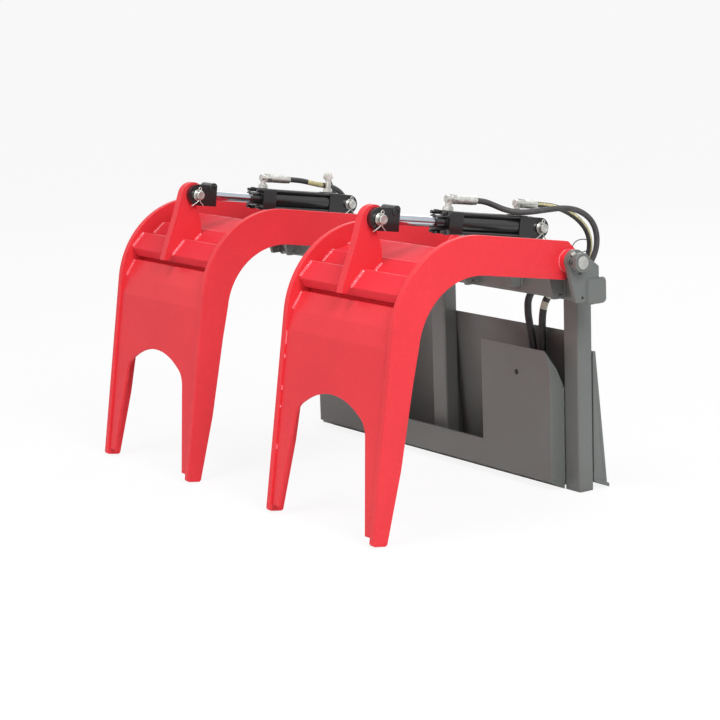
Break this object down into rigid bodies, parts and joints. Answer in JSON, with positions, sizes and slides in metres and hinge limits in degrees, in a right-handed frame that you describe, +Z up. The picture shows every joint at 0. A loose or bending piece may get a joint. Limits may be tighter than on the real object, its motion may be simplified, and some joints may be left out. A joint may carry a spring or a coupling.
{
  "type": "skid steer grapple",
  "caption": "Skid steer grapple: a welded frame with coupler pads carries hinged L-shaped arms, each opened and closed by a tie rod cylinder over it.",
  "frame": {"origin": "the middle of the centre post's foot, on the ground", "axes": "+X across the frame towards the side called right, which is on the right of someone who faces the tines; -Y forward to the tines; +Z up"},
  "size_m": [1.5202, 0.9323, 0.8313],
  "materials": {
    "frame_paint": "gloss",
    "arm_paint": "gloss",
    "cylinder_paint": "gloss",
    "rod_chrome": "polished",
    "zinc": "plated",
    "bare_steel": "machined",
    "piston_iron": "machined",
    "hose_rubber": "satin"
  },
  "bodies": {
    "frame": {"right_post": "frame_paint", "left_post": "frame_paint", "center_post": "frame_paint", "post_caps": "frame_paint", "top_beam": "frame_paint", "beam_end_caps": "frame_paint", "front_coupler_plate": "frame_paint", "coupler_side_plates": "frame_paint", "rear_coupler_plate": "frame_paint", "rear_gussets": "frame_paint", "right_outer_hinge_ears": "frame_paint", "right_inner_hinge_ears": "frame_paint", "left_outer_hinge_ears": "frame_paint", "left_inner_hinge_ears": "frame_paint", "right_hinge_pins": "zinc", "left_hinge_pins": "zinc", "hinge_boss_tubes": "frame_paint", "right_base_lug": "frame_paint", "left_base_lug": "frame_paint", "right_base_pin": "zinc", "left_base_pin": "zinc", "right_rod_hose": "hose_rubber", "right_base_hose": "hose_rubber", "left_rod_hose": "hose_rubber", "left_base_hose": "hose_rubber", "hose_port_blocks": "frame_paint", "hose_end_fittings": "zinc"},
    "arm_right": {"right_arm_outer_plate": "arm_paint", "right_arm_inner_plate": "arm_paint", "right_arm_hinge_tubes": "arm_paint", "right_arm_upper_skin": "arm_paint", "right_arm_front_plate": "arm_paint", "right_arm_lug": "arm_paint"},
    "barrel_right": {"right_cylinder_base_cap": "cylinder_paint", "right_cylinder_barrel": "cylinder_paint", "right_cylinder_head_flange": "cylinder_paint", "right_cylinder_head": "cylinder_paint", "right_tie_rods": "cylinder_paint", "right_port_elbows": "zinc"},
    "rod_right": {"right_piston": "piston_iron", "right_piston_rod": "rod_chrome", "right_rod_clevis": "cylinder_paint", "right_rod_pin_ends": "zinc"},
    "arm_left": {"left_arm_outer_plate": "arm_paint", "left_arm_inner_plate": "arm_paint", "left_arm_hinge_tubes": "arm_paint", "left_arm_upper_skin": "arm_paint", "left_arm_front_plate": "arm_paint", "left_arm_lug": "arm_paint"},
    "barrel_left": {"left_cylinder_base_cap": "cylinder_paint", "left_cylinder_barrel": "cylinder_paint", "left_cylinder_head_flange": "cylinder_paint", "left_cylinder_head": "cylinder_paint", "left_tie_rods": "cylinder_paint", "left_port_elbows": "zinc"},
    "rod_left": {"left_piston": "piston_iron", "left_piston_rod": "rod_chrome", "left_rod_clevis": "cylinder_paint", "left_rod_pin_ends": "zinc"}
  },
  "joints": [
    {"name": "right_arm_hinge", "type": "hinge", "parent": "frame", "child": "arm_right", "pos_m": [0.4503, -0.1248, 0.6574], "axis": [-1, 0, 0], "range_deg": [-12, 74]},
    {"name": "right_barrel_hinge", "type": "hinge", "parent": "frame", "child": "barrel_right", "pos_m": [0.4503, -0.0301, 0.716], "axis": [-1, 0, 0], "range_deg": [-11.5, 69.5], "deforming": ["right_rod_hose", "right_base_hose"]},
    {"name": "right_rod_slide", "type": "slide", "parent": "barrel_right", "child": "rod_right", "axis": [0, -0.9902, 0.1395], "range_m": [-0.1258, 0.0206]},
    {"name": "left_arm_hinge", "type": "hinge", "parent": "frame", "child": "arm_left", "pos_m": [-0.4503, -0.1248, 0.6574], "axis": [-1, 0, 0], "range_deg": [-12, 74]},
    {"name": "left_barrel_hinge", "type": "hinge", "parent": "frame", "child": "barrel_left", "pos_m": [-0.4503, -0.0301, 0.716], "axis": [-1, 0, 0], "range_deg": [-11.5, 69.5], "deforming": ["left_rod_hose", "left_base_hose"]},
    {"name": "left_rod_slide", "type": "slide", "parent": "barrel_left", "child": "rod_left", "axis": [0, -0.9902, 0.1395], "range_m": [-0.1258, 0.0206]}
  ],
  "couplings": [
    {"joint": "right_barrel_hinge", "follows": "right_arm_hinge", "ratio": 0.935},
    {"joint": "right_rod_slide", "follows": "right_arm_hinge", "m_per_rad": -0.0972},
    {"joint": "left_barrel_hinge", "follows": "left_arm_hinge", "ratio": 0.935},
    {"joint": "left_rod_slide", "follows": "left_arm_hinge", "m_per_rad": -0.0972}
  ]
}
